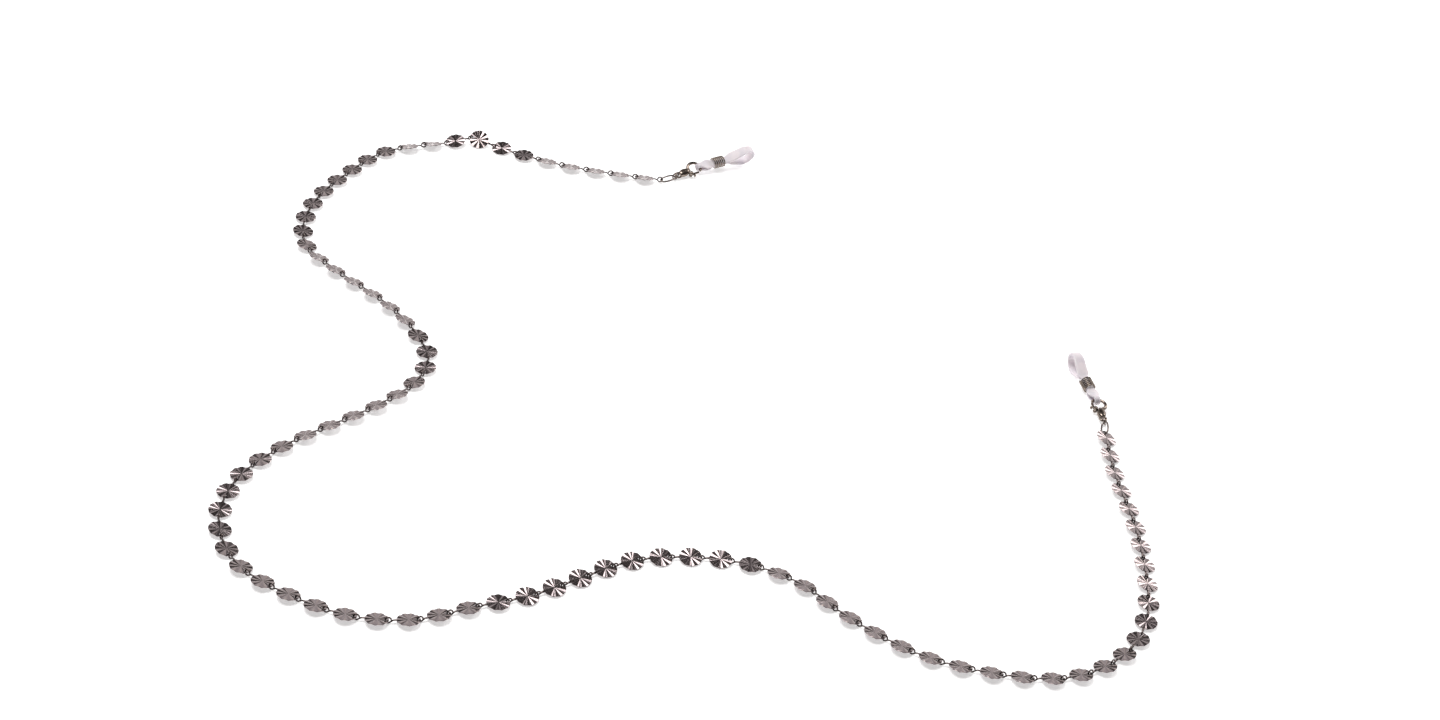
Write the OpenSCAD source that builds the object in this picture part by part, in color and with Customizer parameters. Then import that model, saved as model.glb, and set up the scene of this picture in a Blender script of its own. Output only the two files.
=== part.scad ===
// Eyeglasses chain: a line of pressed disc links between two lobster clasps, each of which holds
// a folded silicone loop for a temple arm. Millimetres, +Z up. The chain lies loose on the plane
// Z = 0, and the origin is under the middle of its outline.

/* [Disc links] */
// Number of disc links
link_count = 87; // [80:1:87]
// Distance from one link's hole to the next one's
link_pitch = 7.87; // [7.82:0.01:7.87]
// Diameter of a disc
disc_d = 6.1; // [5.8:0.1:6.2]
// Thickness of a disc's sheet
disc_t = 0.4; // [0.3:0.05:0.4]
// Diameter of the hole near a disc's edge
hole_d = 0.8; // [0.8:0.02:0.84]
// Distance from the hole's centre to the disc's edge
hole_inset = 0.95; // [0.9:0.01:0.95]
// Outer diameter of the ring that each disc's tab is curled into
ring_d = 1.92; // [1.88:0.01:1.92]
// Thickness of that ring's wire
ring_wire = 0.44; // [0.4:0.01:0.44]
// Width of the neck between a disc and its ring
neck_w = 0.6; // [0.5:0.05:0.7]

/* [Oval link and jump ring] */
// Outer length of the oval link
oval_len = 5.9; // [5.7:0.1:6.1]
// Outer width of the oval link
oval_w = 2.8; // [2.7:0.1:2.9]
// Outer diameter of the round jump ring
jump_d = 2.6; // [2.6:0.1:2.8]
// Thickness of the wire of both
link_wire = 0.5; // [0.44:0.02:0.5]

/* [Lobster clasp] */
// Outer diameter of the clasp's eye
eye_d = 2.5; // [2.5:0.05:2.6]
// Thickness of the clasp across its flat sides
clasp_t = 1.8; // [1.7:0.1:1.9]
// Distance from the eye's centre to the centre of the hook's bend
hook_x = 6.2; // [6.1:0.05:6.25]
// Mean radius of the hook's bend
hook_r = 2.1; // [2.05:0.05:2.15]
// Thickness of the hook
hook_wire = 0.85; // [0.8:0.05:0.9]
// Thickness of the lever's gate
gate_d = 0.7; // [0.65:0.05:0.75]
// Diameter of the lever's hinge pin
pin_d = 0.6; // [0.5:0.05:0.6]

/* [Silicone loop] */
// Distance from the hook to the centre of the loop that takes the temple arm
loop_x = 16.4; // [16:0.1:17]
// Inner radius of that loop
loop_r = 2.5; // [2.4:0.1:2.5]
// Thickness of the silicone at the loop
band_t = 0.75; // [0.7:0.05:0.8]
// Thickness of the silicone at the hook
band_hook_t = 0.85; // [0.8:0.05:0.85]
// Width of the silicone at the hook
band_hook_w = 1.8; // [1.6:0.1:1.8]
// Width of the silicone between the hook and the coil
band_w = 3.4; // [3:0.1:3.6]
// Width of the silicone inside the coil
band_pinch_w = 2.4; // [2.2:0.1:2.4]
// Width of the silicone at the loop
band_loop_w = 2.6; // [2.4:0.1:3]

/* [Coil] */
// Inner diameter of the coil that pinches the silicone
coil_inner_d = 2.9; // [2.9:0.05:3]
// Thickness of the coil's wire
coil_wire = 0.4; // [0.35:0.05:0.45]
// Turns of the coil
coil_turns = 6; // [5:1:6]

/* [Hidden] */
$fn = 48;

// Chain line, points in the plane from the right end to the left end
route = [
    [117, 2], [119, -16], [124, -39], [126, -62], [125, -78], [119, -92], [107, -103], [92, -107],
    [68, -105], [47, -94], [35, -84], [20, -79], [4, -80], [-10, -85], [-22, -95], [-34, -105],
    [-47, -112], [-60, -120], [-76, -122], [-91, -118], [-105, -111], [-112, -102], [-116, -91],
    [-115, -76], [-108, -62], [-98, -50], [-88, -39], [-79, -26], [-76, -11], [-84, 3], [-95, 14],
    [-109, 24], [-121, 35], [-125, 50], [-123, 66], [-117, 81], [-110, 94], [-97, 102], [-83, 109],
    [-67, 105], [-51, 102], [-27, 102], [-19, 103]
];
// Puts the middle of the whole outline over the origin
centring = [-0.53, 0.25];
// How far each link leans about its own length, as [link, degrees], positive with its left side up
lean_table = [
    [0, -18], [4, -13], [8, -13], [12, 14], [25, 14], [27, -11], [34, -9], [36, 12], [44, 14],
    [46, 10], [48, 0], [50, -8], [52, -18], [56, -18], [59, 0], [61, 22], [66, 22], [69, 0],
    [71, -4], [75, -4], [76, -20], [77, -20], [78, 8], [79, 36], [80, 12], [81, 2], [82, -17],
    [86, -19]
];
// Half the height of a disc's pressed flutes
flute_half = 0.33;
// How far the lowest edge of each link stays above the surface
rest_gap = 0.02;

disc_r = disc_d / 2;
disc_x = disc_r - hole_inset;
ring_r = (ring_d - ring_wire) / 2;
ring_x = link_pitch - ring_r;
neck_t = 0.36;
neck_overlap = 0.15;

oval_r = (oval_w - link_wire) / 2;
oval_span = oval_len - oval_w;
jump_r = (jump_d - link_wire) / 2;
// Gap between a wire and the one that it pulls on
gap = 0.1;

eye_wire = 0.7;
eye_r = (eye_d - eye_wire) / 2;
// Palm's two ends, each as [distance from the eye, radius]
palm_start = [1.2, 0.75];
palm_end = [3.3, 1.35];
hook_root = 165;
hook_tip = -60;
pivot = [4.0, -1.45];
ear_r = 0.62;
slot_r = 1.25;
slot_t = 0.9;
barrel_r = 0.55;
barrel_t = 0.8;
bore_gap = 0.03;
pin_len = clasp_t + 0.2;
gate_root = [4.3, -1.75];
gate_tip = [6.6, -1.98];
nub = [4.7, -2.42];
nub_r = 0.48;
heel = [3.75, -0.6];
heel_r = 0.3;
spring_y = -0.45;
spring_x = 2.0;
spring_len = 1.25;
spring_r = 0.32;
pocket_r = 0.38;

// Half the silicone's thickness inside the coil, and the slot left between its two layers
pinch_half = 0.65;
band_slot = 0.1;
// Round hollow that holds the hook, and how far the hook's wire sits from its middle
cavity_r = hook_wire / 2 + 0.22;
hook_offset = 0.1;
hook_taper = 2.8;
loop_start = 9.9;
coil_start = 4.6;
coil_pitch = 0.78;
coil_len = coil_pitch * (coil_turns - 1) + coil_wire;

// Resting places of the two ends, each value as [right, left]
RIGHT = 0;
LEFT = 1;
oval_heading = [92, 46];
oval_lean = [-50, 4];
jump_lean = [65, 90];
clasp_heading = [101, 43];
clasp_lean = [0, 20];
clasp_turn = [180, 0];
band_swing = [10, -10];
jump_z = jump_d / 2;
clasp_climb = [4, 8];
band_climb = [1, 1];
oval_slack = 0.2;

// Smooth curve through the route, with the distance walked at each of its points
SMOOTH = 12;
last = len(route) - 1;
padded = concat([2 * route[0] - route[1]], route, [2 * route[last] - route[last - 1]]);

function curve(a, b, c, d, t) =
    (2 * b + (c - a) * t + (2 * a - 5 * b + 4 * c - d) * t * t
     + (3 * b - a - 3 * c + d) * t * t * t) / 2;

line = concat(
    [for (i = [1 : last], j = [0 : SMOOTH - 1])
        curve(padded[i - 1], padded[i], padded[i + 1], padded[i + 2], j / SMOOTH)],
    [route[last]]
);
line_end = len(line) - 1;
walked = [
    for (i = 0, s = 0; i <= line_end; i = i + 1, s = s + norm(line[min(i, line_end)] - line[i - 1])) s
];
walk_x = [for (i = [0 : line_end]) [walked[i], line[i].x]];
walk_y = [for (i = [0 : line_end]) [walked[i], line[i].y]];

function place(s) = [lookup(s, walk_x), lookup(s, walk_y)];

// Height of each hole, with the ring and the leaning disc of its link just clear of the surface
function lean(k) = lookup(k, lean_table);
function ring_need(k) = ring_r * cos(lean(k)) + ring_wire / 2;
function disc_need(k) = disc_r * sin(abs(lean(k))) + flute_half * cos(lean(k));
function need(k) = max(ring_need(k), disc_need(k)) + rest_gap;
function height(k) = need(k) + max(0, need(k) - need(k + 1)) * disc_x / (link_pitch - disc_x);

// Distance along the line at which the next hole lies one pitch away
function next_hole(s, reach, step, tries) =
    tries == 0 ? s + step
    : next_hole(s, reach, step * reach / norm(place(s + step) - place(s)), tries - 1);
function plan_reach(k) = sqrt(pow(link_pitch, 2) - pow(height(k + 1) - height(k), 2));

steps = [
    for (k = 0, s = 0; k <= link_count; s = next_hole(s, plan_reach(k), link_pitch, 4), k = k + 1) s
];
holes = [for (k = [0 : link_count]) let (p = place(steps[k]) + centring) [p.x, p.y, height(k)]];

function heading(k) = atan2(holes[k + 1].y - holes[k].y, holes[k + 1].x - holes[k].x);
function climb(k) = asin((holes[k + 1].z - holes[k].z) / norm(holes[k + 1] - holes[k]));
function along(h) = [cos(h), sin(h), 0];

last_link = link_count - 1;
left_pull = holes[link_count] - (ring_r - oval_slack) * along(heading(last_link));
oval_at = [
    holes[0] + oval_r * along(oval_heading[RIGHT]),
    left_pull + oval_r * along(heading(last_link))
];
jump_reach = oval_span + oval_r + jump_r - link_wire - gap;
oval_climb = [for (e = [RIGHT, LEFT]) asin((jump_z - oval_at[e].z) / jump_reach)];
jump_at = [for (e = [RIGHT, LEFT]) [oval_at[e].x, oval_at[e].y, jump_z]
    + jump_reach * cos(oval_climb[e]) * along(oval_heading[e])];
eye_reach = jump_r + eye_r - eye_wire / 2 - link_wire / 2 - gap;
clasp_at = [for (e = [RIGHT, LEFT]) jump_at[e] + eye_reach * along(clasp_heading[e])];

function two(n) = str(n < 10 ? "0" : "", n);
function pair_name(i) =
    2 * i + 2 > link_count ? str("link_", two(2 * i + 1))
    : str("links_", two(2 * i + 1), "_", two(2 * i + 2));

pair_count = ceil(link_count / 2);

// Frames

module at_link(k) {
    translate(holes[k])
        rotate([lean(k), -climb(k), heading(k)])
            children();
}

module at_oval(e) {
    translate(oval_at[e])
        rotate([oval_lean[e], -oval_climb[e], oval_heading[e]])
            children();
}

module at_jump_ring(e) {
    translate(jump_at[e])
        rotate([jump_lean[e], 0, clasp_heading[e]])
            children();
}

module at_clasp(e) {
    translate(clasp_at[e])
        rotate([clasp_lean[e], -clasp_climb[e], clasp_heading[e]])
            rotate([clasp_turn[e], 0, 0])
                children();
}

module at_band(e) {
    translate(clasp_at[e])
        rotate([clasp_lean[e], -clasp_climb[e], clasp_heading[e]])
            translate([hook_x, 0, 0])
                rotate([0, 0, band_swing[e]])
                    translate([hook_r - hook_offset, 0, 0])
                        rotate([0, -band_climb[e], 0])
                            children();
}

// Shapes

// Ring of round wire about the Z axis
module wire_ring(r, wire, from = 0, sweep = 360) {
    rotate([0, 0, from])
        rotate_extrude(angle = sweep)
            translate([r, 0])
                circle(d = wire);
}

// Outline of two circles, the second one len further along X, with straight sides between them
module taper(r1, r2, len) {
    a = acos((r1 - r2) / len);
    circle(r1);
    translate([len, 0])
        circle(r2);
    polygon([
        [r1 * cos(a), r1 * sin(a)], [r1 * cos(a), -r1 * sin(a)],
        [len + r2 * cos(a), -r2 * sin(a)], [len + r2 * cos(a), r2 * sin(a)]
    ]);
}

// Sub-parts

// One link, with its hole at the origin and its ring further along X
module disc_link() {
    neck_from = disc_x + disc_r - neck_overlap;
    neck_to = ring_x - ring_r;
    difference() {
        translate([disc_x, 0, 0])
            cylinder(r = disc_r, h = disc_t, center = true);
        cylinder(d = hole_d, h = 2 * disc_t, center = true);
    }
    translate([neck_from, -neck_w / 2, -neck_t / 2])
        cube([neck_to - neck_from, neck_w, neck_t]);
    translate([ring_x, 0, 0])
        rotate([90, 0, 0])
            wire_ring(ring_r, ring_wire);
}

module link_pair(i) {
    color("dimgray")
        for (k = [2 * i : min(2 * i + 1, last_link)])
            at_link(k)
                disc_link();
}

// Oval wire link, with the centre of its first bend at the origin
module oval_link(e) {
    color("silver")
        at_oval(e) {
            wire_ring(oval_r, link_wire, 90, 180);
            translate([oval_span, 0, 0])
                wire_ring(oval_r, link_wire, -90, 180);
            for (y = [-oval_r, oval_r])
                translate([0, y, 0])
                    rotate([0, 90, 0])
                        cylinder(d = link_wire, h = oval_span);
        }
}

module clasp_ring(e) {
    color("silver")
        at_jump_ring(e)
            wire_ring(jump_r, link_wire);
}

// Rounded palm of the clasp, a body of revolution about X cut flat on two sides
module palm() {
    intersection() {
        translate([palm_start[0], 0, 0])
            rotate([0, 90, 0])
                rotate([0, 0, 90])
                    rotate_extrude()
                        rotate([0, 0, 90])
                            intersection() {
                                taper(palm_start[1], palm_end[1], palm_end[0] - palm_start[0]);
                                translate([-palm_start[1], -2 * palm_end[1]])
                                    square([2 * hook_x, 2 * palm_end[1]]);
                            }
        cube([4 * hook_x, 4 * palm_end[1], clasp_t], center = true);
    }
}

module clasp_body(e) {
    color("gainsboro")
        at_clasp(e) {
            wire_ring(eye_r, eye_wire);
            difference() {
                union() {
                    palm();
                    translate([pivot.x, pivot.y, 0])
                        cylinder(r = ear_r, h = clasp_t, center = true);
                    translate([hook_x, 0, 0])
                        wire_ring(hook_r, hook_wire, hook_tip, hook_root - hook_tip);
                }
                cylinder(r = eye_r, h = 2 * clasp_t, center = true);
                translate([pivot.x, pivot.y, 0])
                    cylinder(r = slot_r, h = slot_t, center = true);
                translate([pivot.x, pivot.y, 0])
                    cylinder(d = pin_d, h = 2 * clasp_t, center = true);
                translate([spring_x, spring_y, 0])
                    rotate([0, 90, 0])
                        cylinder(r = pocket_r, h = pivot.x - spring_x);
            }
        }
}

// Round rod along X with a rounded far end
module gate_rod(len) {
    rotate([0, 90, 0])
        rotate_extrude() {
            square([gate_d / 2, len]);
            intersection() {
                translate([0, len])
                    circle(d = gate_d);
                square([gate_d, 2 * len]);
            }
        }
}

module clasp_lever(e) {
    gate = gate_tip - gate_root;
    arm = heel - pivot;
    color("silver")
        at_clasp(e)
            difference() {
                union() {
                    translate([pivot.x, pivot.y, 0])
                        rotate([0, 0, atan2(arm.y, arm.x)])
                            linear_extrude(barrel_t, center = true)
                                taper(barrel_r, heel_r, norm(arm));
                    translate([gate_root.x, gate_root.y, 0])
                        rotate([0, 0, atan2(gate.y, gate.x)])
                            gate_rod(norm(gate));
                    translate([nub.x, nub.y, 0])
                        sphere(r = nub_r);
                }
                translate([pivot.x, pivot.y, 0])
                    cylinder(r = pin_d / 2 + bore_gap, h = 2 * barrel_t, center = true);
            }
}

module clasp_pin(e) {
    color("silver")
        at_clasp(e)
            translate([pivot.x, pivot.y, 0])
                cylinder(d = pin_d, h = pin_len, center = true);
}

module clasp_spring(e) {
    color("gray")
        at_clasp(e)
            translate([spring_x, spring_y, 0])
                rotate([0, 90, 0])
                    cylinder(r = spring_r, h = spring_len);
}

// Side outline of the folded silicone, X along it and Y through its thickness
module band_profile() {
    difference() {
        union() {
            taper(cavity_r + band_hook_t, pinch_half, hook_taper);
            translate([hook_taper, -pinch_half])
                square([loop_start - hook_taper, 2 * pinch_half]);
            translate([loop_start, 0])
                taper(pinch_half, loop_r + band_t, loop_x - loop_start);
        }
        taper(cavity_r, band_slot / 2, hook_taper);
        translate([hook_taper, -band_slot / 2])
            square([loop_start - hook_taper, band_slot]);
        translate([loop_start, 0])
            taper(band_slot / 2, loop_r, loop_x - loop_start);
    }
}

// Outline of the silicone seen from above: narrow at the hook, wide after it, pinched in the coil
module band_outline() {
    stations = [
        [-2 * hook_r, band_hook_w], [0.3, band_hook_w], [2.2, band_w], [3.2, band_w],
        [3.9, band_pinch_w], [loop_start, band_pinch_w], [loop_start + 1.2, band_w],
        [loop_x - 1, band_w], [loop_x + 1, band_loop_w], [loop_x + 2 * loop_r, band_loop_w]
    ];
    far = len(stations) - 1;
    polygon(concat(
        [for (p = stations) [p[0], -p[1] / 2]],
        [for (i = [far : -1 : 0]) [stations[i][0], stations[i][1] / 2]]
    ));
}

module silicone_loop(e) {
    color("whitesmoke")
        at_band(e)
            intersection() {
                rotate([90, 0, 0])
                    linear_extrude(2 * band_w, center = true)
                        band_profile();
                linear_extrude(4 * loop_r, center = true)
                    band_outline();
            }
}

module loop_coil(e) {
    turn_r = (coil_inner_d + coil_wire) / 2;
    wall = coil_wire / 3;
    color("silver")
        at_band(e)
            translate([coil_start, 0, 0])
                rotate([0, 90, 0])
                    rotate_extrude() {
                        for (i = [0 : coil_turns - 1])
                            translate([turn_r, coil_wire / 2 + i * coil_pitch])
                                circle(d = coil_wire);
                        translate([turn_r - wall / 2, coil_wire / 2])
                            square([wall, coil_len - coil_wire]);
                    }
}

for (i = [0 : pair_count - 1]) link_pair(i);
oval_link(RIGHT);  // oval_link_right
oval_link(LEFT);  // oval_link_left
clasp_ring(RIGHT);  // clasp_ring_right
clasp_ring(LEFT);  // clasp_ring_left
clasp_body(RIGHT);  // clasp_body_right
clasp_body(LEFT);  // clasp_body_left
clasp_lever(RIGHT);  // clasp_lever_right
clasp_lever(LEFT);  // clasp_lever_left
clasp_pin(RIGHT);  // clasp_pin_right
clasp_pin(LEFT);  // clasp_pin_left
clasp_spring(RIGHT);  // clasp_spring_right
clasp_spring(LEFT);  // clasp_spring_left
silicone_loop(RIGHT);  // silicone_loop_right
silicone_loop(LEFT);  // silicone_loop_left
loop_coil(RIGHT);  // loop_coil_right
loop_coil(LEFT);  // loop_coil_left
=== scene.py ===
"""Eyeglasses chain: fluted disc links between two lobster clasps with silicone temple loops."""

import bisect
import math

import bmesh
import bpy
from mathutils import Matrix, Vector


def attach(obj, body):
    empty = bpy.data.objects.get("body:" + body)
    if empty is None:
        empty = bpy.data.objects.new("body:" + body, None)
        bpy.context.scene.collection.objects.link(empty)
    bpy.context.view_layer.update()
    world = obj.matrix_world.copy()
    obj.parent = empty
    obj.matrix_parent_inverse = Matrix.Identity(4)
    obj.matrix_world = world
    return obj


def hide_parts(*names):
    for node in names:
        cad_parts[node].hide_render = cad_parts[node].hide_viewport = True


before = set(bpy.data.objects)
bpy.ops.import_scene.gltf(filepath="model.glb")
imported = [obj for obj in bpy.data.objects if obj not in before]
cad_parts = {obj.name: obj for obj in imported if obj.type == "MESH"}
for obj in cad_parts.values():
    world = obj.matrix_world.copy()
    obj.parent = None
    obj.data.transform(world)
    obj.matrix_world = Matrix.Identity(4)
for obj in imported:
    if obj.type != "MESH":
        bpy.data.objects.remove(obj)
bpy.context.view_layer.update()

MM = 0.001

# Layout of the chain, as in the CAD source: the line's points in millimetres, then metres
ROUTE_MM = [
    (117, 2), (119, -16), (124, -39), (126, -62), (125, -78), (119, -92), (107, -103), (92, -107),
    (68, -105), (47, -94), (35, -84), (20, -79), (4, -80), (-10, -85), (-22, -95), (-34, -105),
    (-47, -112), (-60, -120), (-76, -122), (-91, -118), (-105, -111), (-112, -102), (-116, -91),
    (-115, -76), (-108, -62), (-98, -50), (-88, -39), (-79, -26), (-76, -11), (-84, 3), (-95, 14),
    (-109, 24), (-121, 35), (-125, 50), (-123, 66), (-117, 81), (-110, 94), (-97, 102), (-83, 109),
    (-67, 105), (-51, 102), (-27, 102), (-19, 103),
]
CENTRING = (-0.53, 0.25)
LEAN_TABLE = [
    (0, -18), (4, -13), (8, -13), (12, 14), (25, 14), (27, -11), (34, -9), (36, 12), (44, 14),
    (46, 10), (48, 0), (50, -8), (52, -18), (56, -18), (59, 0), (61, 22), (66, 22), (69, 0),
    (71, -4), (75, -4), (76, -20), (77, -20), (78, 8), (79, 36), (80, 12), (81, 2), (82, -17),
    (86, -19),
]
LINKS = 87
PITCH = 7.87
DISC_R = 3.05
DISC_X = 2.1
HOLE_R = 0.4
RING_R = 0.74
RING_WIRE = 0.44
RING_X = PITCH - RING_R
FLUTE_HALF = 0.33
REST_GAP = 0.02
SMOOTH = 12         # steps between two points of the line
STEP_ROUNDS = 4     # rounds that bring the next hole to exactly one pitch


# Where each link lies

def lookup(x, table):
    """Straight-line reading of a table of (x, y) rows."""
    keys = [row[0] for row in table]
    if x <= keys[0]:
        return table[0][1]
    if x >= keys[-1]:
        return table[-1][1]
    i = bisect.bisect_right(keys, x)
    (x0, y0), (x1, y1) = table[i - 1], table[i]
    return y0 + (y1 - y0) * (x - x0) / (x1 - x0)


def spline(points):
    """Smooth curve through the points, with SMOOTH steps between neighbours."""
    pts = [Vector(p) for p in points]
    padded = [2 * pts[0] - pts[1]] + pts + [2 * pts[-1] - pts[-2]]
    line = []
    for a, b, c, d in zip(padded, padded[1:], padded[2:], padded[3:]):
        for j in range(SMOOTH):
            t = j / SMOOTH
            line.append((2 * b + (c - a) * t + (2 * a - 5 * b + 4 * c - d) * t * t
                         + (3 * b - a - 3 * c + d) * t * t * t) / 2)
    return line + [pts[-1]]


LINE = spline(ROUTE_MM)
WALKED = [0.0]
for before, after in zip(LINE, LINE[1:]):
    WALKED.append(WALKED[-1] + (after - before).length)


def place(s):
    """Point of the line at a walked length, in millimetres."""
    i = min(max(bisect.bisect_right(WALKED, s), 1), len(LINE) - 1)
    t = min(max((s - WALKED[i - 1]) / (WALKED[i] - WALKED[i - 1]), 0), 1)
    return LINE[i - 1].lerp(LINE[i], t)


def lean(k):
    return math.radians(lookup(k, LEAN_TABLE))


def height_need(k):
    """Lowest height at which link k's ring and leaned disc clear the table."""
    ring = RING_R * math.cos(lean(k)) + RING_WIRE / 2
    disc = DISC_R * math.sin(abs(lean(k))) + FLUTE_HALF * math.cos(lean(k))
    return max(ring, disc) + REST_GAP


def height(k):
    """Height of hole k: a link that leads down to a lower one is lifted so that its disc clears."""
    here, following = height_need(k), height_need(k + 1)
    return here + max(0, here - following) * DISC_X / (PITCH - DISC_X)


def hole_points():
    """The centre of each link's hole, one pitch from the next, in millimetres."""
    points = []
    s = 0.0
    for k in range(LINKS + 1):
        flat = place(s)
        points.append(Vector((flat.x + CENTRING[0], flat.y + CENTRING[1], height(k))))
        reach = math.sqrt(PITCH ** 2 - (height(k + 1) - height(k)) ** 2)
        step = PITCH
        for _ in range(STEP_ROUNDS):
            step *= reach / (place(s + step) - place(s)).length
        s += step
    return points


HOLES = hole_points()


def link_frame(k):
    """Frame of link k: hole at the origin, +X towards the next link, +Z out of the disc's face."""
    along = HOLES[k + 1] - HOLES[k]
    heading = math.atan2(along.y, along.x)
    climb = math.asin(along.z / along.length)
    turn = (Matrix.Rotation(heading, 4, "Z") @ Matrix.Rotation(-climb, 4, "Y")
            @ Matrix.Rotation(lean(k), 4, "X"))
    return Matrix.Translation(HOLES[k] * MM) @ turn


def ahead(point, heading, distance):
    """Point a distance away on the level, at a heading in radians."""
    return point + distance * Vector((math.cos(heading), math.sin(heading), 0))


def turned(point, lean_deg, climb_deg, heading_deg):
    """Frame at a point, leaned about its own X, then climbing, then headed."""
    turn = (Matrix.Rotation(math.radians(heading_deg), 4, "Z")
            @ Matrix.Rotation(math.radians(-climb_deg), 4, "Y")
            @ Matrix.Rotation(math.radians(lean_deg), 4, "X"))
    return Matrix.Translation(point * MM) @ turn


# Mesh helpers. Shapes are made in millimetres in their own frame and come out in metres.

ALONG = Vector((1, 0, 0))
UP = Vector((0, 0, 1))
NO_LENGTH = 1e-6


def full_turn(steps):
    """Equal steps of angle round a full turn, in radians."""
    return [2 * math.pi * j / steps for j in range(steps)]


def place_mesh(name, mesh, frame_matrix):
    """Object with this mesh, at this frame."""
    obj = bpy.data.objects.new(name, mesh)
    bpy.context.scene.collection.objects.link(obj)
    obj.matrix_world = frame_matrix
    return obj


def skin_rings(bm, rings, closed):
    """Joins rings of the same number of points with quads, and caps the ends of an open run."""
    verts = [[bm.verts.new(p) for p in ring] for ring in rings]
    count = len(verts[0])
    pairs = list(zip(verts, verts[1:]))
    if closed:
        pairs.append((verts[-1], verts[0]))
    for a, b in pairs:
        for j in range(count):
            bm.faces.new((a[j], a[(j + 1) % count], b[(j + 1) % count], b[j]))
    if not closed:
        bm.faces.new(verts[0])
        bm.faces.new(verts[-1])


def tube(bm, path, radius, closed=False, sides=16, up=UP):
    """Round tube along a path."""
    path = [Vector(p) for p in path]
    count = len(path)
    rings = []
    for i, point in enumerate(path):
        if closed:
            tangent = path[(i + 1) % count] - path[i - 1]
        else:
            tangent = path[min(i + 1, count - 1)] - path[max(i - 1, 0)]
        tangent.normalize()
        side = tangent.cross(up)
        if side.length < NO_LENGTH:
            side = tangent.orthogonal()
        side.normalize()
        rise = side.cross(tangent)
        rings.append([point + side * radius * math.cos(a) + rise * radius * math.sin(a)
                      for a in full_turn(sides)])
    skin_rings(bm, rings, closed)


BLUNT = 0.0004      # keeps a rounded end from closing to a point


def round_end(share, edge):
    """Falls to nothing over the last share of each end of a tube, as a rounded end does."""
    near = min(edge, 1 - edge) / share
    return 1.0 if near >= 1 else math.sqrt(max(1 - (1 - near) ** 2, BLUNT))


def arc(centre, r, start_deg, end_deg, steps, plane="XY"):
    """Points of an arc in a plane through its centre."""
    points = []
    for i in range(steps + 1):
        a = math.radians(start_deg + (end_deg - start_deg) * i / steps)
        u, v = r * math.cos(a), r * math.sin(a)
        points.append(Vector(centre) + Vector((u, v, 0) if plane == "XY" else (u, 0, v)))
    return points


def modified(obj, kind, **settings):
    """Applies one modifier to an object's mesh."""
    modifier = obj.modifiers.new(kind, kind)
    for key, value in settings.items():
        setattr(modifier, key, value)
    graph = bpy.context.evaluated_depsgraph_get()
    graph.update()
    mesh = bpy.data.meshes.new_from_object(obj.evaluated_get(graph))
    obj.modifiers.clear()
    old = obj.data
    obj.data = mesh
    bpy.data.meshes.remove(old)


def sharpen(mesh, degrees):
    """Keeps creases above an angle crisp and everything else smooth."""
    bm = bmesh.new()
    bm.from_mesh(mesh)
    limit = math.radians(degrees)
    for edge in bm.edges:
        edge.smooth = len(edge.link_faces) != 2 or edge.calc_face_angle(0) < limit
    for face in bm.faces:
        face.smooth = True
    bm.to_mesh(mesh)
    bm.free()


def squared(value, power):
    """Cosine or sine raised to a power, which turns a circle towards a rounded square below 1."""
    return math.copysign(abs(value) ** power, value)


def sweep(bm, path, size, up=UP, sides=16, power=1.0):
    """Solid swept along an open path. size gives its half sizes across and along up."""
    count = len(path)
    rings = []
    for i, point in enumerate(path):
        tangent = (path[min(i + 1, count - 1)] - path[max(i - 1, 0)]).normalized()
        side = tangent.cross(up).normalized()
        across, rise = size(i / (count - 1))
        ring = []
        for a in full_turn(sides):
            ring.append(point + side * squared(math.cos(a), power) * across
                        + up * squared(math.sin(a), power) * rise)
        rings.append(ring)
    skin_rings(bm, rings, False)


def cylinder(bm, centre, r, depth, sides=32, axis="Z", edge=0.0):
    """Cylinder along Z or X, with bevelled rims where edge isn't 0."""
    half = depth / 2
    profile = [(r, -half), (r, half)]
    if edge:
        profile = [(r - edge, -half), (r, edge - half), (r, half - edge), (r - edge, half)]
    rings = []
    for rad, z in profile:
        around = [(rad * math.cos(a), rad * math.sin(a)) for a in full_turn(sides)]
        rings.append([Vector(centre) + Vector((u, v, z) if axis == "Z" else (z, u, v))
                      for u, v in around])
    skin_rings(bm, rings, False)


def millimetre_object(bm):
    """Object in millimetres, for the work that comes before placing."""
    bmesh.ops.recalc_face_normals(bm, faces=bm.faces)
    mesh = bpy.data.meshes.new("work")
    bm.to_mesh(mesh)
    bm.free()
    obj = bpy.data.objects.new("work", mesh)
    bpy.context.scene.collection.objects.link(obj)
    return obj


def combine(obj, tool_bm, operation):
    """Cuts a tool's shape from an object, or joins it on."""
    tool = millimetre_object(tool_bm)
    modified(obj, "BOOLEAN", object=tool, operation=operation, solver="EXACT")
    bpy.data.objects.remove(tool)


def finished_mesh(obj, name, crease):
    """The object's mesh, in metres, with crisp edges only where it turns sharply."""
    mesh = obj.data
    bpy.data.objects.remove(obj)
    mesh.name = name
    mesh.transform(Matrix.Scale(MM, 4))
    sharpen(mesh, crease)
    return mesh


def melted(bm, voxel, rounds):
    """Joins overlapping shapes into one skin and softens the joins."""
    obj = millimetre_object(bm)
    modified(obj, "REMESH", mode="VOXEL", voxel_size=voxel, use_smooth_shade=True)
    modified(obj, "SMOOTH", factor=0.5, iterations=rounds)
    return obj


# Materials. Coordinates are each piece's own, in metres, so that a pattern stays on its piece.

GRAIN_LOW, GRAIN_HIGH = 0.3, 0.7        # the part of a fine noise's range that roughness follows


def new_material(name):
    material = bpy.data.materials.new(name)
    material.use_nodes = True
    nodes = material.node_tree.nodes
    return material, nodes, material.node_tree.links, nodes["Principled BSDF"]


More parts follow.
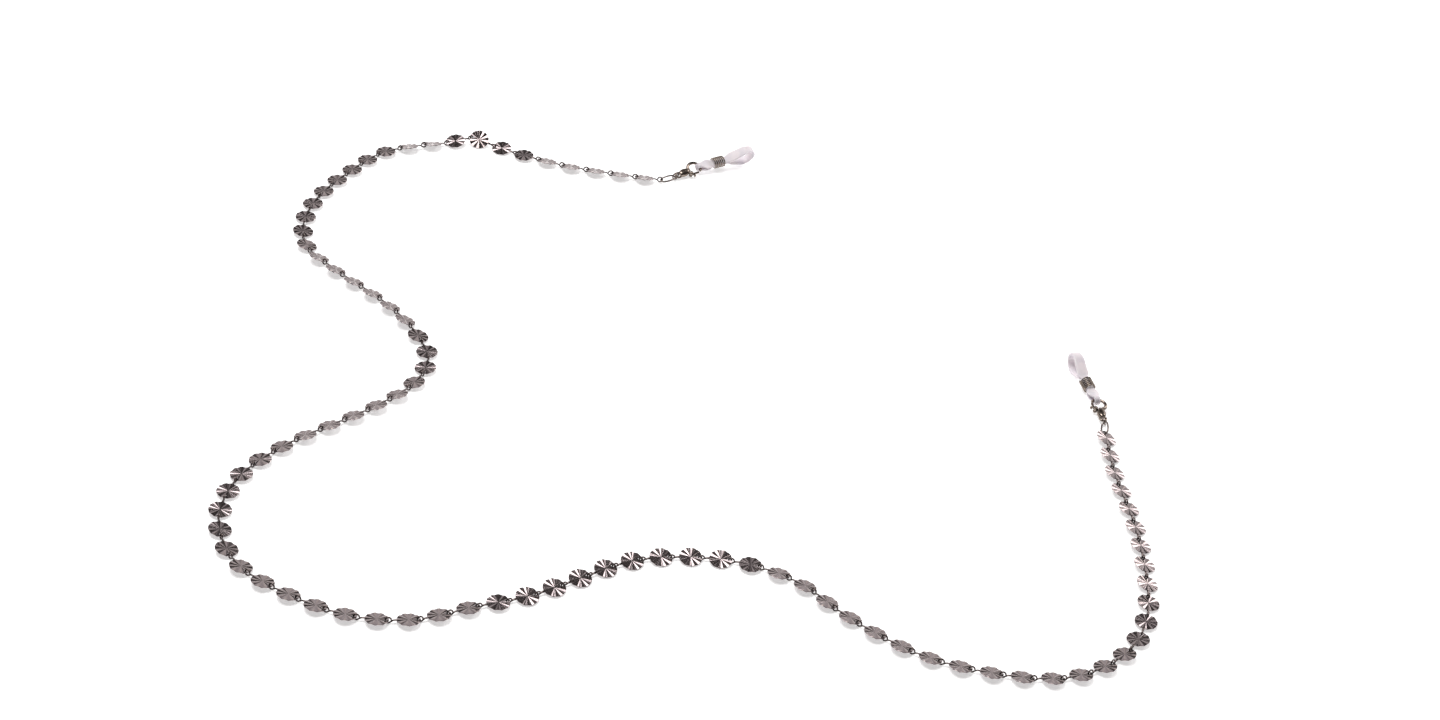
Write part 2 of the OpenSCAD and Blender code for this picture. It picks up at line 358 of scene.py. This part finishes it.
def noise(nodes, links, vector, scale, detail=3.0, stretch=None):
    if stretch:
        mapping = nodes.new("ShaderNodeMapping")
        mapping.inputs["Scale"].default_value = stretch
        links.new(vector, mapping.inputs["Vector"])
        vector = mapping.outputs["Vector"]
    texture = nodes.new("ShaderNodeTexNoise")
    texture.inputs["Scale"].default_value = scale
    texture.inputs["Detail"].default_value = detail
    links.new(vector, texture.inputs["Vector"])
    return texture.outputs["Fac"]


def remap(nodes, links, value, low, high, to_low, to_high):
    node = nodes.new("ShaderNodeMapRange")
    ends = {"From Min": low, "From Max": high, "To Min": to_low, "To Max": to_high}
    for key, number in ends.items():
        node.inputs[key].default_value = number
    links.new(value, node.inputs["Value"])
    return node.outputs["Result"]


def mix(nodes, links, share, a, b):
    """Mix of two colours, each a constant or another node's output."""
    node = nodes.new("ShaderNodeMix")
    node.data_type = "RGBA"
    links.new(share, node.inputs["Factor"])
    for key, colour in (("A", a), ("B", b)):
        socket = next(s for s in node.inputs if s.name == key and s.type == "RGBA")
        if isinstance(colour, tuple):
            socket.default_value = (*colour, 1)
        else:
            links.new(colour, socket)
    return next(s for s in node.outputs if s.type == "RGBA")


def maths(nodes, links, operation, a, b=None):
    node = nodes.new("ShaderNodeMath")
    node.operation = operation
    for i, value in enumerate((a, b)):
        if isinstance(value, (int, float)):
            node.inputs[i].default_value = value
        elif value is not None:
            links.new(value, node.inputs[i])
    return node.outputs[0]


def bump(nodes, links, shader, height_value, distance):
    node = nodes.new("ShaderNodeBump")
    node.inputs["Distance"].default_value = distance
    links.new(height_value, node.inputs["Height"])
    links.new(node.outputs["Normal"], shader.inputs["Normal"])


LAND_WAVE = (0.60, 0.72)                # flute wave over which the lands' lighter colour comes in, part rubbed wear and part painted highlight
RING_SHADE_FADE = (0.0050, 0.0054)            # metres from the hole over which the ring's painted shade comes in


def disc_metal():
    """Black nickel on pressed sheet: cloudy, lighter and warmer on the lands (part rubbed wear, part
    painted highlight), with painted shade darkening the ring.
    """
    material, nodes, links, shader = new_material("black_nickel")
    coords = nodes.new("ShaderNodeTexCoord").outputs["Object"]
    shader.inputs["Metallic"].default_value = 1.0
    split = nodes.new("ShaderNodeSeparateXYZ")
    links.new(coords, split.inputs["Vector"])
    x = maths(nodes, links, "SUBTRACT", split.outputs["X"], DISC_X * MM)
    turn = maths(nodes, links, "ARCTAN2", split.outputs["Y"], x)
    wave = maths(nodes, links, "COSINE", maths(nodes, links, "MULTIPLY", turn, FLUTES))
    land = remap(nodes, links, wave, *LAND_WAVE, 0.0, 1.0)
    cloud = noise(nodes, links, coords, 900.0)
    grain = noise(nodes, links, coords, 9000.0, 2.0, (1.0, 0.25, 1.0))
    plate = mix(nodes, links, remap(nodes, links, cloud, 0.35, 0.65, 0.0, 1.0),
                (0.225, 0.190, 0.196), (0.280, 0.240, 0.243))
    # The lands take a lighter, warmer colour: part rubbed wear, part painted highlight.
    wear_and_highlight_spread = remap(nodes, links, cloud, 0.40, 0.60, 0.25, 0.80)
    wear_and_highlight = maths(nodes, links, "MULTIPLY", land, wear_and_highlight_spread)
    face = mix(nodes, links, wear_and_highlight, plate, (0.36, 0.30, 0.28))
    # Painted shade: the curled ring gets a darker colour than the disc, though it is the same metal.
    ring_shade = remap(nodes, links, split.outputs["X"], *RING_SHADE_FADE, 0.0, 1.0)
    links.new(mix(nodes, links, ring_shade, face, (0.115, 0.092, 0.088)), shader.inputs["Base Color"])
    links.new(remap(nodes, links, grain, GRAIN_LOW, GRAIN_HIGH, 0.13, 0.25),
              shader.inputs["Roughness"])
    bump(nodes, links, shader, grain, 0.000004)
    return material


def nickel(name, dark, light, rough_low, rough_high, stretch):
    """Plated steel wire or casting with faint drawing lines and cloudy plating."""
    material, nodes, links, shader = new_material(name)
    coords = nodes.new("ShaderNodeTexCoord").outputs["Object"]
    shader.inputs["Metallic"].default_value = 1.0
    cloud = noise(nodes, links, coords, 700.0)
    grain = noise(nodes, links, coords, 6000.0, 3.0, stretch)
    links.new(mix(nodes, links, remap(nodes, links, cloud, 0.35, 0.65, 0.0, 1.0), dark, light),
              shader.inputs["Base Color"])
    links.new(remap(nodes, links, grain, GRAIN_LOW, GRAIN_HIGH, rough_low, rough_high),
              shader.inputs["Roughness"])
    bump(nodes, links, shader, grain, 0.000006)
    return material


def milky_silicone():
    """Translucent silicone with a faint haze and a slightly uneven moulded skin."""
    material, nodes, links, shader = new_material("milky_silicone")
    coords = nodes.new("ShaderNodeTexCoord").outputs["Object"]
    cloud = noise(nodes, links, coords, 260.0)
    skin = noise(nodes, links, coords, 5000.0, 2.0)
    links.new(mix(nodes, links, remap(nodes, links, cloud, 0.38, 0.62, 0.0, 1.0),
                  (0.70, 0.665, 0.71), (0.80, 0.745, 0.77)), shader.inputs["Base Color"])
    links.new(remap(nodes, links, skin, GRAIN_LOW, GRAIN_HIGH, 0.30, 0.42),
              shader.inputs["Roughness"])
    shader.inputs["Subsurface Weight"].default_value = 0.4
    shader.inputs["Subsurface Radius"].default_value = (1.0, 0.9, 0.95)
    shader.inputs["Subsurface Scale"].default_value = 0.0012
    shader.inputs["IOR"].default_value = 1.41
    bump(nodes, links, shader, skin, 0.000008)
    return material


# Disc link: pressed flutes, an edge with rounded corners, a hole, and a tab curled into a ring

FLUTES = 10
FLUTE_DEG = 360 / FLUTES
LAND_HALF = 5.0     # half angle of the flat land on each flute
FLUTE_RISE = 0.095
SHEET = 0.24
FLUTE_STEPS = (-5.5, -4.6, 0.0, 4.6, 5.5, 11.5, 17.2, 18.8, 24.5)
DISC_RADII = (0.3, 1.0, 1.8, 2.5, 2.9)
SCALLOP = 0.02
RIM_ROUND, RIM_LEVEL = 0.05, 0.6
NECK_XZ = ((4.85, 0), (5.1, 0), (5.35, 0), (5.6, -0.01), (5.85, -0.06), (6.1, -0.17), (6.32, -0.33))
NECK_WIDER, NECK_THINNER = 0.16, 0.2
CURL_FROM, CURL_TO, CURL_STEPS = 222, 540, 40
DRILL_DEPTH, DRILL_SIDES = 2.0, 28


def flute(turn_deg):
    """Height share of the flutes at an angle about the disc: 1 on a land, -1 in a valley."""
    away = abs((turn_deg + FLUTE_DEG / 2) % FLUTE_DEG - FLUTE_DEG / 2)
    return 1 - 2 * max(0.0, away - LAND_HALF) / (FLUTE_DEG / 2 - LAND_HALF)


def fluted_disc():
    """Round plate whose flutes fade out towards its centre."""
    bm = bmesh.new()
    turns = [FLUTE_DEG * i + step for i in range(FLUTES) for step in FLUTE_STEPS]

    def vert(r, turn, level):
        a = math.radians(turn)
        rise = FLUTE_RISE * r / DISC_R * flute(turn) + level * SHEET / 2
        return bm.verts.new(Vector((DISC_X + r * math.cos(a), r * math.sin(a), rise)))

    def rim(turn):
        return DISC_R - SCALLOP * (1 - abs(flute(turn)))

    loops = [[vert(r, t, 1) for t in turns] for r in DISC_RADII]
    for inset, level in ((RIM_ROUND, 1), (0, RIM_LEVEL), (0, -RIM_LEVEL), (RIM_ROUND, -1)):
        loops.append([vert(rim(t) - inset, t, level) for t in turns])
    loops += [[vert(r, t, -1) for t in turns] for r in reversed(DISC_RADII)]
    count = len(turns)
    for a, b in zip(loops, loops[1:]):
        for j in range(count):
            bm.faces.new((a[j], a[(j + 1) % count], b[(j + 1) % count], b[j]))
    for loop, level in ((loops[0], 1), (loops[-1], -1)):
        hub = bm.verts.new(Vector((DISC_X, 0, level * SHEET / 2)))
        for j in range(count):
            bm.faces.new((hub, loop[j], loop[(j + 1) % count]))
    return bm


def curled_tab():
    """Flat neck that bends down and round into the ring, and stops just short of meeting itself."""
    bm = bmesh.new()
    neck = [Vector((x, 0, z)) for x, z in NECK_XZ]
    ring = arc((RING_X, 0, 0), RING_R, CURL_FROM, CURL_TO, CURL_STEPS, "XZ")
    path = neck + ring
    neck_share = len(neck) / len(path)

    def size(share):
        flat = max(0.0, 1 - share / neck_share)
        across = RING_WIRE / 2 * (1 - NECK_THINNER * flat)
        wide = RING_WIRE / 2 + NECK_WIDER * flat
        return across, wide

    sweep(bm, path, size, Vector((0, 1, 0)))
    return bm


def disc_link_mesh():
    obj = millimetre_object(fluted_disc())
    drill = bmesh.new()
    cylinder(drill, (0, 0, 0), HOLE_R, DRILL_DEPTH, DRILL_SIDES)
    combine(obj, drill, "DIFFERENCE")
    combine(obj, curled_tab(), "UNION")
    return finished_mesh(obj, "disc_link", 35)


# End hardware

RIGHT, LEFT = 0, 1
SIDES = ("right", "left")
OVAL_LEN, OVAL_W, JUMP_D, LINK_WIRE = 5.9, 2.8, 2.6, 0.5
OVAL_R = (OVAL_W - LINK_WIRE) / 2
OVAL_SPAN = OVAL_LEN - OVAL_W
JUMP_R = (JUMP_D - LINK_WIRE) / 2
GAP = 0.1
EYE_WIRE = 0.7
EYE_R = 0.9
CLASP_T = 1.8
HOOK_X, HOOK_R, HOOK_WIRE = 6.2, 2.1, 0.85
HOOK_ROOT, HOOK_TIP = 165, -60
PIVOT = (4.0, -1.45, 0)
PIN_R = 0.3
OVAL_HEADING = (92, 46)
OVAL_LEAN = (-50, 4)
JUMP_LEAN = (65, 90)
CLASP_HEADING = (101, 43)
CLASP_LEAN = (0, 20)
CLASP_TURN = (180, 0)
BAND_SWING = (10, -10)
CLASP_CLIMB = (4, 8)
BAND_CLIMB = (1, 1)
OVAL_SLACK = 0.2
JUMP_Z = JUMP_D / 2
LOOP_X, LOOP_R, BAND_T, BAND_HOOK_T = 16.4, 2.5, 0.75, 0.85
PINCH_HALF, BAND_SLOT = 0.65, 0.1
CAVITY_R = HOOK_WIRE / 2 + 0.22
HOOK_OFFSET = 0.1
HOOK_TAPER, LOOP_START = 2.8, 9.9
COIL_START, COIL_INNER_D, COIL_WIRE, COIL_TURNS, COIL_PITCH = 4.6, 2.9, 0.4, 6, 0.78
OVAL_SQUARENESS = 2.5
PALM_START, PALM_LENGTH, PALM_STEPS = 0.55, 4.1, 24
KNUCKLE_R, KNUCKLE_EDGE = 0.62, 0.12
LEVER_SLOT_R, LEVER_SLOT = 1.25, 0.9
SPRING_POCKET, SPRING_POCKET_R, SPRING_POCKET_LEN = (3.0, -0.45, 0), 0.38, 2.0
THROUGH = 3.0
LEVER_HEEL, LEVER_ROOT, LEVER_TIP = (3.75, -0.6, 0), (4.05, -1.72, 0), (6.93, -2.0, 0)
LEVER_R = 0.35
NUB_START, NUB_LENGTH, NUB_Y, NUB_BULGE = 4.35, 0.75, -2.28, 0.32
PIN_PROFILE = ((0.001, -1.0), (0.18, -0.985), (0.27, -0.94), (PIN_R, -0.88), (PIN_R, 0.88),
               (0.27, 0.94), (0.18, 0.985), (0.001, 1.0))
SPRING_FROM, SPRING_TO, SPRING_Y, SPRING_R, SPRING_TURNS = 2.06, 3.19, -0.45, 0.26, 5
SPRING_WIRE_R = 0.055


def end_frames(e):
    """Frames of one end's oval link, jump ring, clasp and silicone loop."""
    last = HOLES[LINKS] - HOLES[LINKS - 1]
    last_heading = math.atan2(last.y, last.x)
    if e == RIGHT:
        oval_at = ahead(HOLES[0], math.radians(OVAL_HEADING[RIGHT]), OVAL_R)
    else:
        pull = ahead(HOLES[LINKS], last_heading, OVAL_SLACK - RING_R)
        oval_at = ahead(pull, last_heading, OVAL_R)
    reach = OVAL_SPAN + OVAL_R + JUMP_R - LINK_WIRE - GAP
    climb = math.asin((JUMP_Z - oval_at.z) / reach)
    jump_at = ahead(Vector((oval_at.x, oval_at.y, JUMP_Z)), math.radians(OVAL_HEADING[e]),
                    reach * math.cos(climb))
    eye_reach = JUMP_R + EYE_R - EYE_WIRE / 2 - LINK_WIRE / 2 - GAP
    clasp_at = ahead(jump_at, math.radians(CLASP_HEADING[e]), eye_reach)
    leaned = turned(clasp_at, CLASP_LEAN[e], CLASP_CLIMB[e], CLASP_HEADING[e])
    return {
        "oval": turned(oval_at, OVAL_LEAN[e], math.degrees(climb), OVAL_HEADING[e]),
        "jump": turned(jump_at, JUMP_LEAN[e], 0, CLASP_HEADING[e]),
        "clasp": leaned @ Matrix.Rotation(math.radians(CLASP_TURN[e]), 4, "X"),
        "band": (leaned @ Matrix.Translation((HOOK_X * MM, 0, 0))
                 @ Matrix.Rotation(math.radians(BAND_SWING[e]), 4, "Z")
                 @ Matrix.Translation(((HOOK_R - HOOK_OFFSET) * MM, 0, 0))
                 @ Matrix.Rotation(math.radians(-BAND_CLIMB[e]), 4, "Y")),
    }


def oval_mesh():
    """Long oval of wire, a little fuller in its corners than an ellipse."""
    bm = bmesh.new()
    half = (OVAL_SPAN / 2 + OVAL_R, OVAL_R)
    soft = 2 / OVAL_SQUARENESS
    path = [(OVAL_SPAN / 2 + half[0] * squared(math.cos(a), soft),
             half[1] * squared(math.sin(a), soft), 0) for a in full_turn(64)]
    tube(bm, path, LINK_WIRE / 2, True, 18)
    return finished_mesh(millimetre_object(bm), "oval_link", 60)


def jump_mesh():
    """Round ring of wire with a hairline split on one side."""
    bm = bmesh.new()
    path = arc((0, 0, 0), JUMP_R, 64, 416, 72)
    tube(bm, path, LINK_WIRE / 2, False, 18)
    return finished_mesh(millimetre_object(bm), "jump_ring", 50)


def clasp_body_mesh():
    """Casting of one skin: eye, swollen palm, hook and knuckle, with the lever's slot cut through."""
    bm = bmesh.new()
    tube(bm, arc((0, 0, 0), EYE_R, 0, 354, 60), EYE_WIRE / 2, True, 16)

    def palm_size(share):
        swell = math.sin(math.pi * min(1.0, 0.16 + share * 0.84))
        return 0.30 + 1.05 * swell, 0.30 + 0.58 * min(1.0, swell * 1.35)

    palm = [Vector((PALM_START + PALM_LENGTH * i / PALM_STEPS, 0, 0)) for i in range(PALM_STEPS + 1)]
    sweep(bm, palm, palm_size, sides=28, power=0.85)

    def hook_size(share):
        r = HOOK_WIRE / 2 * (1.32 - 0.32 * min(1.0, share * 1.6))
        end = round_end(0.05, share) if share > 0.5 else 1.0
        return r * end, r * end * 1.06

    hook = arc((HOOK_X, 0, 0), HOOK_R, HOOK_ROOT, HOOK_TIP, 60)
    sweep(bm, hook, hook_size, sides=20)
    cylinder(bm, PIVOT, KNUCKLE_R, CLASP_T, 36, "Z", KNUCKLE_EDGE)
    obj = melted(bm, 0.06, 5)
    for centre, r, depth, axis in (
        ((0, 0, 0), EYE_R - EYE_WIRE / 2 + 0.02, THROUGH, "Z"),
        (PIVOT, LEVER_SLOT_R, LEVER_SLOT, "Z"),
        (PIVOT, PIN_R, THROUGH, "Z"),
        (SPRING_POCKET, SPRING_POCKET_R, SPRING_POCKET_LEN, "X"),
    ):
        cut = bmesh.new()
        cylinder(cut, centre, r, depth, 40, axis)
        combine(obj, cut, "DIFFERENCE")
    return finished_mesh(obj, "clasp_body", 38)


def lever_mesh():
    """Thumb lever: knuckle on the pin, heel on the spring, gate along the hook's mouth, and nub."""
    bm = bmesh.new()
    pivot, heel, root, tip = (Vector(p) for p in (PIVOT, LEVER_HEEL, LEVER_ROOT, LEVER_TIP))

    def heel_size(share):
        return 0.5 - 0.2 * share, 0.38

    def gate_size(share):
        return (LEVER_R * round_end(0.12, share),) * 2

    def nub_size(share):
        return 0.34 * round_end(0.35, share), 0.44 * round_end(0.35, share)

    cylinder(bm, PIVOT, 0.55, 0.8, 36, "Z", 0.08)
    sweep(bm, [pivot.lerp(heel, i / 6) for i in range(7)], heel_size, sides=20, power=0.5)
    sweep(bm, [root.lerp(tip, i / 20) for i in range(21)], gate_size, sides=20)
    nub = [Vector((NUB_START + NUB_LENGTH * i / 12, NUB_Y - NUB_BULGE * math.sin(math.pi * i / 12), 0))
           for i in range(13)]
    sweep(bm, nub, nub_size, sides=20)
    obj = melted(bm, 0.05, 3)
    bore = bmesh.new()
    cylinder(bore, PIVOT, PIN_R + 0.03, 2.0, 32)
    combine(obj, bore, "DIFFERENCE")
    return finished_mesh(obj, "clasp_lever", 40)


def pin_mesh():
    """Hinge pin with slightly domed, rounded heads."""
    bm = bmesh.new()
    rings = [[Vector(PIVOT) + Vector((r * math.cos(a), r * math.sin(a), z)) for a in full_turn(28)]
             for r, z in PIN_PROFILE]
    skin_rings(bm, rings, False)
    return finished_mesh(millimetre_object(bm), "clasp_pin", 60)


def helix(start, end, r, turns, steps_per_turn):
    """Points of a helix along X."""
    total = int(turns * steps_per_turn)
    points = []
    for i in range(total + 1):
        a = 2 * math.pi * turns * i / total
        points.append(Vector((start + (end - start) * i / total, r * math.cos(a), r * math.sin(a))))
    return points


def spring_mesh():
    """Return spring in the palm's pocket, behind the lever's heel."""
    bm = bmesh.new()
    path = helix(SPRING_FROM, SPRING_TO, SPRING_R, SPRING_TURNS, 18)
    tube(bm, [p + Vector((0, SPRING_Y, 0)) for p in path], SPRING_WIRE_R, False, 8, ALONG)
    return finished_mesh(millimetre_object(bm), "clasp_spring", 60)


def coil_mesh():
    """Wound coil that pinches the two runs of silicone together."""
    bm = bmesh.new()
    length = COIL_PITCH * (COIL_TURNS - 1)
    start = COIL_START + COIL_WIRE / 2
    path = helix(start, start + length, (COIL_INNER_D + COIL_WIRE) / 2, COIL_TURNS, 36)
    tube(bm, path, COIL_WIRE / 2, False, 14, ALONG)
    return finished_mesh(millimetre_object(bm), "loop_coil", 60)


BAND_SECTION, BAND_SECTION_POWER = 24, 0.45
BAND_EASING = 3
BAND_WIDTHS = ((-4.0, 1.75), (0.2, 1.75), (2.3, 3.4), (3.3, 3.4), (4.2, 2.4), (9.5, 2.4), (11.1, 3.4),
               (14.6, 3.2), (17.2, 2.6), (24.0, 2.6))


def band_width(x):
    """Width of the silicone at a distance from the hook, eased between the listed widths."""
    for (x0, w0), (x1, w1) in zip(BAND_WIDTHS, BAND_WIDTHS[1:]):
        if x <= x1:
            t = min(max((x - x0) / (x1 - x0), 0), 1)
            return w0 + (w1 - w0) * t * t * (3 - 2 * t)
    return BAND_WIDTHS[-1][1]


def tangent_deg(r1, r2, length):
    """Angle at which a straight run leaves a round end of radius r1 for one of r2."""
    return math.degrees(math.acos((r1 - r2) / length))


def band_lines():
    """Inner and outer outline of the folded silicone in the XZ plane, point for point."""
    hook = (CAVITY_R, CAVITY_R + BAND_HOOK_T)
    loop = (LOOP_R, LOOP_R + BAND_T)
    pinch = (BAND_SLOT / 2, PINCH_HALF)
    lines = []
    for i in (0, 1):
        a = tangent_deg(hook[i], pinch[i], HOOK_TAPER)
        b = tangent_deg(pinch[i], loop[i], LOOP_X - LOOP_START)
        line = arc((0, 0, 0), hook[i], a, 360 - a, 30, "XZ")
        low = [Vector((HOOK_TAPER, 0, -pinch[i])), Vector((LOOP_START, 0, -pinch[i]))]
        curve = arc((LOOP_X, 0, 0), loop[i], -b, b, 44, "XZ")
        runs = ((line[-1], low[0], 6), (low[0], low[1], 20), (low[1], curve[0], 14))
        lower = [p.lerp(q, j / n) for p, q, n in runs for j in range(n)][1:]
        upper = [Vector((p.x, 0, -p.z)) for p in reversed(lower)]
        lines.append(line + lower + curve + upper)
    return lines


def eased(points, rounds):
    """Rounds the corners of a closed line."""
    for _ in range(rounds):
        points = [points[i] * 0.5 + (points[i - 1] + points[(i + 1) % len(points)]) * 0.25
                  for i in range(len(points))]
    return points


def band_mesh():
    """Silicone strip folded round the hook, pinched under the coil and open at the temple loop."""
    bm = bmesh.new()
    inner, outer = (eased(line, BAND_EASING) for line in band_lines())
    rings = []
    for a, b in zip(inner, outer):
        middle, through = (a + b) / 2, (b - a) / 2
        across = Vector((0, band_width(middle.x) / 2, 0))
        rings.append([middle + through * squared(math.cos(a), BAND_SECTION_POWER)
                      + across * squared(math.sin(a), BAND_SECTION_POWER)
                      for a in full_turn(BAND_SECTION)])
    skin_rings(bm, rings, True)
    return finished_mesh(millimetre_object(bm), "silicone_loop", 80)


# Camera

CAMERA_AT = Vector((0.00447, -0.59375, 0.4278))
PITCH_DOWN = 35.26
ROLL = 8.67
LENS, SENSOR = 64.15, 36
NEAREST = 0.01
camera_data = bpy.data.cameras.new("camera")
camera_data.lens = LENS
camera_data.sensor_width = SENSOR
camera_data.clip_start = NEAREST
camera = bpy.data.objects.new("camera", camera_data)
bpy.context.scene.collection.objects.link(camera)
camera.matrix_world = (Matrix.Translation(CAMERA_AT)
                       @ Matrix.Rotation(math.radians(90 - PITCH_DOWN), 4, "X")
                       @ Matrix.Rotation(math.radians(ROLL), 4, "Z"))
bpy.context.scene.camera = camera

# Studio: white table, bright backdrop beyond it, two soft boxes in a dim room above

TABLE_HALF = 3.0
TABLE_GLOW = 0.5
BACKDROP_TOP = (0.48, 0.53)     # upward share of the view's direction over which the backdrop ends
BACKDROP_SIDE = (0.05, 0.45)    # share towards +Y over which it comes in
floor_bm = bmesh.new()
bmesh.ops.create_grid(floor_bm, x_segments=8, y_segments=8, size=TABLE_HALF)
floor_mesh = bpy.data.meshes.new("floor")
floor_bm.to_mesh(floor_mesh)
floor_bm.free()
floor = bpy.data.objects.new("floor", floor_mesh)
bpy.context.scene.collection.objects.link(floor)
table_top, nodes, links, shader = new_material("white_table")
shader.inputs["Base Color"].default_value = (0.86, 0.86, 0.865, 1)
shader.inputs["Roughness"].default_value = 0.9
shader.inputs["Specular IOR Level"].default_value = 0.1
shader.inputs["Emission Color"].default_value = (1, 1, 1, 1)
shader.inputs["Emission Strength"].default_value = TABLE_GLOW
floor.data.materials.append(table_top)

world = bpy.data.worlds.new("studio")
bpy.context.scene.world = world
world.use_nodes = True
nodes, links = world.node_tree.nodes, world.node_tree.links
direction = nodes.new("ShaderNodeSeparateXYZ")
links.new(nodes.new("ShaderNodeTexCoord").outputs["Generated"], direction.inputs["Vector"])
low = remap(nodes, links, direction.outputs["Z"], *BACKDROP_TOP, 1.0, 0.0)
far = remap(nodes, links, direction.outputs["Y"], *BACKDROP_SIDE, 0.0, 1.0)
backdrop = mix(nodes, links, maths(nodes, links, "MULTIPLY", low, far), (0.055, 0.05, 0.05),
               (1.0, 0.97, 0.97))
links.new(backdrop, nodes["Background"].inputs["Color"])
nodes["Background"].inputs["Strength"].default_value = 1.0


def softbox(name, azimuth, elevation, distance, size, radiance, colour):
    """Rectangular light that faces the chain. Azimuth is measured from +Y towards +X."""
    data = bpy.data.lights.new(name, "AREA")
    data.shape = "RECTANGLE"
    data.size, data.size_y = size
    data.energy = radiance * size[0] * size[1] * math.pi
    data.color = colour
    light = bpy.data.objects.new(name, data)
    a, b = math.radians(azimuth), math.radians(elevation)
    out = Vector((math.sin(a) * math.cos(b), math.cos(a) * math.cos(b), math.sin(b)))
    light.location = out * distance
    light.rotation_mode = "QUATERNION"
    light.rotation_quaternion = out.to_track_quat("Z", "Y")
    bpy.context.scene.collection.objects.link(light)


softbox("box_top", -65, 74, 1.5, (0.9, 1.0), 7.0, (1.0, 0.99, 0.98))
softbox("box_back", 50, 38, 1.5, (0.6, 0.6), 6.5, (1.0, 0.985, 0.97))

bpy.context.scene.view_settings.view_transform = "Standard"

# The chain

steel_dark = nickel("warm_nickel", (0.19, 0.155, 0.135), (0.29, 0.24, 0.205), 0.14, 0.28,
                    (1.0, 0.2, 1.0))
wire_dark = nickel("wire_nickel", (0.16, 0.13, 0.12), (0.25, 0.21, 0.19), 0.15, 0.27,
                   (0.3, 1.0, 1.0))
coil_dark = nickel("coil_nickel", (0.17, 0.14, 0.12), (0.27, 0.22, 0.18), 0.15, 0.30,
                   (1.0, 1.0, 0.3))
spring_dark = nickel("spring_wire", (0.30, 0.29, 0.28), (0.42, 0.40, 0.38), 0.2, 0.34,
                     (1.0, 1.0, 1.0))
disc_dark = disc_metal()
silicone = milky_silicone()


def piece(name, mesh, frame_matrix, body, node, material):
    """Places a mesh on its body, in the place of its CAD node."""
    obj = place_mesh(name, mesh, frame_matrix)
    if not mesh.materials:
        mesh.materials.append(material)
    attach(obj, body)
    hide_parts(node)


link_mesh = disc_link_mesh()
for k in range(LINKS):
    first = k - k % 2 + 1
    group = f"link_{first:02d}" if first == LINKS else f"links_{first:02d}_{first + 1:02d}"
    piece(f"disc_link_{k + 1:02d}", link_mesh, link_frame(k), group, group, disc_dark)

# label, mesh, frame, body, node, material and slot of each piece of an end
HARDWARE = (
    ("oval_wire", oval_mesh(), "oval", "oval_link_", "oval_link_", wire_dark, "wire_steel"),
    ("jump_wire", jump_mesh(), "jump", "jump_ring_", "clasp_ring_", wire_dark, "wire_steel"),
    ("clasp_casting", clasp_body_mesh(), "clasp", "clasp_", "clasp_body_", steel_dark, "clasp_steel"),
    ("thumb_lever", lever_mesh(), "clasp", "lever_", "clasp_lever_", steel_dark, "clasp_steel"),
    ("hinge_pin", pin_mesh(), "clasp", "clasp_", "clasp_pin_", steel_dark, "clasp_steel"),
    ("lever_spring", spring_mesh(), "clasp", "clasp_", "clasp_spring_", spring_dark, "spring_steel"),
    ("silicone_band", band_mesh(), "band", "silicone_", "silicone_loop_", silicone, "silicone"),
    ("pinch_coil", coil_mesh(), "band", "coil_", "loop_coil_", coil_dark, "coil_steel"),
)
for e, side in enumerate(SIDES):
    frames = end_frames(e)
    for label, mesh, frame_name, body, node, material, slot in HARDWARE:
        piece(f"{label}_{side}", mesh, frames[frame_name], body + side, node + side, material)
